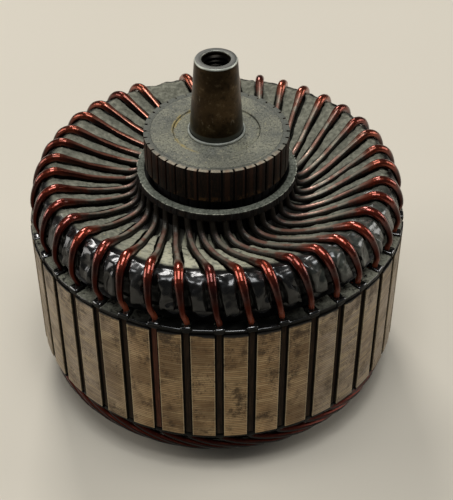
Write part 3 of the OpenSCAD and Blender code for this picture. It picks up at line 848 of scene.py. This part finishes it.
def rim_plates(low, high):
    """End plate over the core: a plain disc inside, and a rounded tab on each tooth."""
    disc = lathe([
        (PLATE_IN_R, low), (TAB_IN_R, low), (TAB_IN_R, high), (PLATE_IN_R, high)], steps=SLOT_COUNT * 2)
    room = math.asin(SLOT_W / 2 / CORE_R)
    tabs = []
    for k in range(SLOT_COUNT):
        outer = PLATE_R + random.uniform(-0.12, 0.22) * MM
        lift = random.uniform(-0.25, 0.2) * MM
        top = high + lift
        tab = lathe([
            (TAB_IN_R - GAP, low), (outer, low), (outer, top), (TAB_IN_R - GAP, top)],
            steps=6, start=slot_angle(k) + room, angle=PITCH - 2 * room)
        soften(tab, 0.3 * MM, 3)
        for v in tab.verts:
            push = 0.14 * MM * noise.noise(v.co * 420)
            if v.co.xy.length > TAB_EDGE_R:
                v.co.xy += v.co.xy.normalized() * push
                v.co.xy = v.co.xy.normalized() * min(v.co.xy.length, RIM_LIMIT_R)
        tabs.append(tab)
    return joined([disc] + tabs)


def rim_cuffs(low, high, inset):
    """Cuffs folded round the wires where they leave the slots, each folded a little differently."""
    cuffs = []
    mid_r = (UPPER_R - 1.2 * WIRE_R + CUFF_R) / 2
    depth = CUFF_R - UPPER_R + 1.2 * WIRE_R
    for k in range(SLOT_COUNT):
        cuff = bmesh.new()
        bmesh.ops.create_cube(cuff, size=1)
        wide = CUFF_W * random.uniform(0.92, 1.08)
        tall = (high - low) * random.uniform(0.9, 1)
        bmesh.ops.scale(cuff, vec=(depth, wide, tall), verts=cuff.verts)
        soften(cuff, 0.55 * MM, 4)
        bmesh.ops.subdivide_edges(cuff, edges=cuff.edges, cuts=1, use_grid_fill=True)
        lean = Matrix.Rotation(random.uniform(-0.07, 0.07), 4, "X")
        place = Matrix.Translation((mid_r - inset - random.uniform(0.02, 0.2) * MM, 0, (low + high) / 2))
        bmesh.ops.transform(cuff, matrix=turned(slot_angle(k)) @ place @ lean, verts=cuff.verts)
        for v in cuff.verts:
            v.co += 0.12 * MM * noise.noise_vector(v.co * 700)
            v.co.z = min(max(v.co.z, low), high)
            v.co.xy = v.co.xy.normalized() * min(v.co.xy.length, RIM_LIMIT_R)
        cuffs.append(cuff)
    return joined(cuffs)


def make_rims(plate_finish, cuff_finish, lower_finish):
    """Insulating plates and cuffs at both ends of the core."""
    make_piece("top_rim_plate", rim_plates(CORE_TOP, PLATE_TOP), plate_finish,
               ["top_end_plate"])
    make_piece("bottom_rim_plate", rim_plates(CORE_BOTTOM - PLATE_T, CORE_BOTTOM), lower_finish,
               ["bottom_end_plate"])
    make_piece("top_rim_cuffs", rim_cuffs(CORE_TOP, CUFF_TOP, 0), cuff_finish,
               ["top_cuffs"])
    make_piece("bottom_rim_cuffs", rim_cuffs(CORE_BOTTOM - CUFF_RISE, CORE_BOTTOM, 0.5 * MM),
               lower_finish, ["bottom_cuffs"])


def slot_strip(k):
    """Closing strip in a slot, slightly bowed and set to its own depth."""
    strip = bmesh.new()
    bmesh.ops.create_cube(strip, size=1)
    size = (STRIP_T, SLOT_W - 2.5 * GAP, CORE_TOP - CORE_BOTTOM)
    bmesh.ops.scale(strip, vec=size, verts=strip.verts)
    soften(strip, 0.13 * MM)
    middle_r = CORE_R - STRIP_RECESS - STRIP_T / 2 - random.uniform(0, 0.12) * MM
    lean = Matrix.Rotation(random.uniform(-0.05, 0.05), 4, "Z")
    place = Matrix.Translation((middle_r, 0, (CORE_TOP + CORE_BOTTOM) / 2))
    bmesh.ops.transform(strip, matrix=turned(slot_angle(k)) @ place @ lean, verts=strip.verts)
    return strip


def make_strips(finish, red_finish):
    """Closing strips of the slots, one of them a red-brown replacement."""
    strips = [slot_strip(k) for k in range(SLOT_COUNT) if k != RED_STRIP]
    make_piece("slot_closing_strips", joined(strips), finish, ["slot_strips"])
    make_piece("red_closing_strip", slot_strip(RED_STRIP), red_finish, ["red_slot_strip"])


def straight_rod(stations, sides, radius):
    """Round rod along z with a ring at each whole number, to be laid along a path."""
    rod = bmesh.new()
    bmesh.ops.create_circle(rod, cap_ends=True, segments=sides, radius=radius)
    rod.faces.ensure_lookup_table()
    face = rod.faces[0]
    for _ in range(stations):
        grown = bmesh.ops.extrude_face_region(rod, geom=[face])["geom"]
        face = next(g for g in grown if isinstance(g, bmesh.types.BMFace))
        bmesh.ops.translate(rod, vec=(0, 0, 1), verts=face.verts)
    bmesh.ops.recalc_face_normals(rod, faces=rod.faces)
    return rod


def laid_wire(rod, stations, path, angle, base, sway, swell):
    """Copy of a rod, laid along a path from a slot, swayed off it and swollen at the crest."""
    wire = rod.copy()
    along = wire.verts.layers.float.new("along")
    shade = wire.verts.layers.float.new("shade")
    tone = random.random()
    bend = [random.uniform(-1, 1) for _ in range(4)]
    frames = []
    for station in range(stations + 1):
        share = station / stations
        free = math.sin(math.pi * share)
        wave = math.sin(TURN * share)
        point = path_at(path, share)
        point.x += angle + sway / point.y * (bend[0] * free + 0.6 * bend[1] * wave)
        point.z += base + 0.5 * sway * (bend[2] * free * free + 0.6 * bend[3] * wave * free)
        frames.append(point)
    places = [to_space(p) for p in frames]
    for v in wire.verts:
        i = round(v.co.z)
        run = (places[min(i + 1, stations)] - places[max(i - 1, 0)]).normalized()
        sideways = Vector((-math.sin(frames[i].x), math.cos(frames[i].x), 0))
        out = run.cross(sideways).normalized()
        v[along] = i / stations
        v[shade] = tone
        rise, fall = ease(i / stations, 0.12, 0.42), ease(i / stations, 0.5, 0.62)
        girth = 1 + swell * (rise - 0.5 - 0.6 * fall)
        broad = 1 + 0.35 * swell * rise * (1 - fall)
        v.co = places[i] + girth * (v.co.x * out + broad * v.co.y * run.cross(out))
    return wire


def make_wires(name, path, base, stations, sides, radius, sway, swell, skip, finish, node):
    """One set of wires, one from each slot along the same path."""
    rod = straight_rod(stations, sides, radius)
    wires = [laid_wire(rod, stations, path, slot_angle(k), base, sway, swell)
             for k in range(SLOT_COUNT) if k != skip]
    rod.free()
    make_piece(name, joined(wires), finish, [node])


CROWN_COLUMNS = 20
CROWN_ROWS = 84
CROWN_START = 1
CROWN_END = 9.9
GROOVE_HALF = 1.15 * MM
PAD_EDGE = 0.35 * MM


def wire_distance(k, arc, across):
    """Distance along the arc from a place between two slots to the nearest wire that is there."""
    after = (k + 1) % SLOT_COUNT
    left = arc if k == MISSING_WIRE else across * arc
    right = arc if after == MISSING_WIRE else (1 - across) * arc
    return min(left, right)


def crown_height(k, share, arc, across, z, spot):
    """Height of the padding over the wires' centre line; share counts the points of the lead's path."""
    near = wire_distance(k, arc, across)
    flank = 1 - ease(share, 3.4, 4.8)
    rear = ease(spot.y, -5 * MM, 15 * MM)
    fore = ease(-spot.y, 12 * MM, 22 * MM) * ease(share, 4.8, 5.6)
    edge = GROOVE_HALF + 0.4 * MM * flank + 0.15 * MM * noise.noise(spot * 450)
    edge -= 0.3 * MM * rear + 0.25 * MM * fore
    pad = ease(near, edge, edge + PAD_EDGE)
    outside = 1 - ease(share, 2.8, 4.2)
    own = noise.noise(Vector((k * 7.3, 1.7, 0)))
    slant = noise.noise(Vector((k * 5.1, 8.3, 0)))
    flat = ease(share, 3.7, 4.9) * (1 - ease(share, 5.2, 6.6))
    level = -0.45 * MM + 0.2 * MM * own + 0.5 * MM * slant * (across - 0.5)
    level -= flat * (0.25 + (0.4 + 0.2 * own) * math.sin(math.pi * across)) * MM
    level += 0.3 * MM * ease(share, 6, 7) - 2.4 * MM * ease(share, 8.3, 9.5)
    lump = 0.22 * MM * noise.noise(spot * 380) + 0.06 * MM * noise.noise(spot * 900)
    roll = ease(share, 2.8, 3.6) * (1 - ease(share, 4.7, 5.4))
    lump += roll * (0.26 * MM * noise.noise(spot * 520) + 0.05 * MM * noise.noise(spot * 1100))
    fold = noise.noise(Vector((spot.x * 520, spot.y * 520, z * 110)))
    level += lump + outside * 0.5 * MM * fold
    crease = abs(noise.noise(Vector((spot.x * 300, spot.y * 300, z * 90 + 4))))
    level -= outside * 0.35 * MM * (1 - ease(crease, 0, 0.14))
    crest = ease(share, 2.8, 3.6) * (1 - ease(share, 4.8, 5.8))
    deep = 0.7 * MM + 0.7 * MM * ease(share, 5, 6.5) + 0.9 * MM * flank
    groove = -(WIRE_R + deep * (1 - 0.85 * crest))
    height = groove + (level - groove) * pad
    hem = 4.2 * MM + 1.3 * MM * noise.noise(Vector((k * 3.9, 2.1, across)))
    tuck = ease(z, hem - 0.5 * MM, hem + 0.5 * MM) if share < 3 else 1
    return height * tuck + (1 - tuck) * -3 * MM


def make_crown(finish):
    """Taped crown under the wires: a padded block between each two, folded over the crest."""
    run_of_rows = CROWN_END - CROWN_START
    shares = [CROWN_START + run_of_rows * i / (CROWN_ROWS - 1) for i in range(CROWN_ROWS)]
    steps = len(LEAD) - 1
    columns = SLOT_COUNT * CROWN_COLUMNS
    back = [(NECK_R + 2 * GAP, PLATE_T), (UPPER_R - 2.2 * WIRE_R, PLATE_T)]
    rows = CROWN_ROWS + len(back)
    crown = bmesh.new()
    apart = crown.verts.layers.float.new("apart")
    bmesh.ops.create_grid(crown, x_segments=columns, y_segments=rows, size=1)
    for v in crown.verts:
        column = round((v.co.x + 1) / 2 * columns) % columns
        row = round((v.co.y + 1) / 2 * rows) % rows
        k, part = divmod(column, CROWN_COLUMNS)
        across = part / CROWN_COLUMNS
        if row < CROWN_ROWS:
            share = shares[row]
            turn, radius, z = path_at(LEAD, share / steps)
            run = run_at(LEAD, share / steps)
            angle = slot_angle(k + across) + turn
            spot = to_space((angle, radius, z))
            v[apart] = wire_distance(k, radius * PITCH, across) / MM
            height = crown_height(k, share, radius * PITCH, across, z, spot)
            radius += run.y * height
            z -= run.x * height
        else:
            radius, z = back[row - CROWN_ROWS]
            angle = slot_angle(k + across) - (LEAD_TURN if row == CROWN_ROWS else 0)
        v.co = to_space((angle, max(radius, NECK_R + GAP), CORE_TOP + max(z, PLATE_T)))
    bmesh.ops.remove_doubles(crown, verts=crown.verts, dist=1e-7)
    make_piece("crown_padding", crown, finish,
               ["crown_insulation", "crown_spacers", "torn_insulation"], sharp=math.radians(80))


# Stage, light and camera

VIEW_LENS_PX = 1146.64
VIEW_HEIGHT_PX = 500
VIEW_ELEVATION = 0.663
VIEW_DISTANCE = 279 * MM
AIM_RIGHT = 0.0079
AIM_UP = -0.0377
VIEW_ROLL = -0.0011


def make_camera():
    """Camera at the photograph's angle, aimed a little below the core's upper face."""
    rise, level = math.sin(VIEW_ELEVATION), math.cos(VIEW_ELEVATION)
    place = Vector((0, -VIEW_DISTANCE * level, CORE_TOP + VIEW_DISTANCE * rise))
    ahead = Vector((0, level, -rise)) * math.cos(AIM_UP) * math.cos(AIM_RIGHT)
    ahead += Vector((math.sin(AIM_RIGHT) * math.cos(AIM_UP), 0, 0))
    ahead += Vector((0, rise, level)) * math.sin(AIM_UP)
    ahead.normalize()
    right = ahead.cross(Vector((0, 0, 1))).normalized()
    up = right.cross(ahead)
    turn = Matrix.Rotation(VIEW_ROLL, 3, -ahead)
    axes = Matrix((turn @ right, turn @ up, -ahead)).transposed()
    data = bpy.data.cameras.new("camera")
    data.sensor_width = 36
    data.lens = VIEW_LENS_PX / VIEW_HEIGHT_PX * data.sensor_width
    data.clip_start = 0.01
    camera = bpy.data.objects.new("camera", data)
    camera.matrix_world = Matrix.Translation(place) @ axes.to_4x4()
    bpy.context.scene.collection.objects.link(camera)
    bpy.context.scene.camera = camera


def soft_light(name, place, size, power, colour):
    """Square soft light that faces the core's upper face."""
    data = bpy.data.lights.new(name, "AREA")
    data.size = size
    data.energy = power
    data.color = colour
    lamp = bpy.data.objects.new(name, data)
    lamp.location = place
    lamp.rotation_euler = (Vector((0, 0, CORE_TOP)) - Vector(place)).to_track_quat("-Z", "Y").to_euler()
    bpy.context.scene.collection.objects.link(lamp)


def make_stage():
    """Pale floor, soft studio light and the world behind it."""
    plane = bmesh.new()
    bmesh.ops.create_grid(plane, x_segments=4, y_segments=4, size=4)
    mesh = bpy.data.meshes.new("floor")
    plane.to_mesh(mesh)
    plane.free()
    mesh.materials.append(floor_finish())
    floor = bpy.data.objects.new("floor", mesh)
    bpy.context.scene.collection.objects.link(floor)
    soft_light("back_light", (-0.12, 0.55, 0.6), 0.2, 2.4, (1, 0.98, 0.95))
    soft_light("top_light", (0, -0.14, 0.82), 0.4, 2.9, (0.97, 0.99, 1))
    soft_light("small_light", (0.05, -0.1, 0.85), 0.08, 0.4, (1, 1, 1))
    soft_light("left_light", (-0.65, 0, 0.3), 0.35, 1.65, (1, 0.97, 0.93))
    soft_light("right_light", (0.65, 0.12, 0.28), 0.35, 1.5, (1, 0.97, 0.93))
    world = bpy.data.worlds.new("studio")
    world.use_nodes = True
    sky = world.node_tree.nodes["Background"]
    sky.inputs["Color"].default_value = (0.93, 0.95, 1, 1)
    sky.inputs["Strength"].default_value = 0.06
    bpy.context.scene.world = world
    bpy.context.scene.view_settings.view_transform = "Standard"


make_camera()
make_stage()

wire_enamel = crown_enamel()
foot_enamel = lower_enamel()
rim_varnish = black_varnish("rim_varnish", 0.72, 0.1 * MM, 0.7, 1)
lower_varnish = black_varnish("lower_varnish", 0, 0.1 * MM, 0)
cuff_varnish = black_varnish("cuff_varnish", 0.1, 0.08 * MM, 1)
inner_varnish = black_varnish("inner_varnish", 0.4, 0.08 * MM, 0.3)

make_shaft(nose_steel())
make_cap(cap_moulding("cap_moulding", "5d5f5a", "878676"),
         cap_moulding("washer_moulding", "6d6f68", "868573"), bright_collar())
make_bars(bar_copper(), plain_mica())
make_core(core_steel())
make_rims(rim_varnish, cuff_varnish, lower_varnish)
make_strips(slot_strip_finish("slot_strip", "1f160e", "3c2c1e"),
            slot_strip_finish("red_strip", "45281d", "6a3e2d"))
make_wires("crown_wires", LEAD, CORE_TOP, 48, 12, WIRE_R, 0.35 * MM, 0.4, MISSING_WIRE,
           wire_enamel, "top_wires")
make_wires("lower_outer_wires", FOOT_OUT, CORE_BOTTOM, 32, 10, BARE_WIRE_R, 0.25 * MM, 0, -1,
           foot_enamel, "bottom_outer_wires")
make_wires("lower_inner_wires", FOOT_BACK, CORE_BOTTOM, 28, 10, WIRE_R, 0, 0, -1, foot_enamel,
           "bottom_inner_wires")
make_crown(padded_crown())

for node in ("neck_sleeve", "commutator_sleeve", "bottom_support_ring", "bottom_layer_sheet"):
    dress(node, inner_varnish)
dress("slot_liners", slot_strip_finish("slot_paper", "0e0a07", "1c150f"))
dress("upper_slot_conductors", wire_enamel)
dress("lower_slot_conductors", wire_enamel)
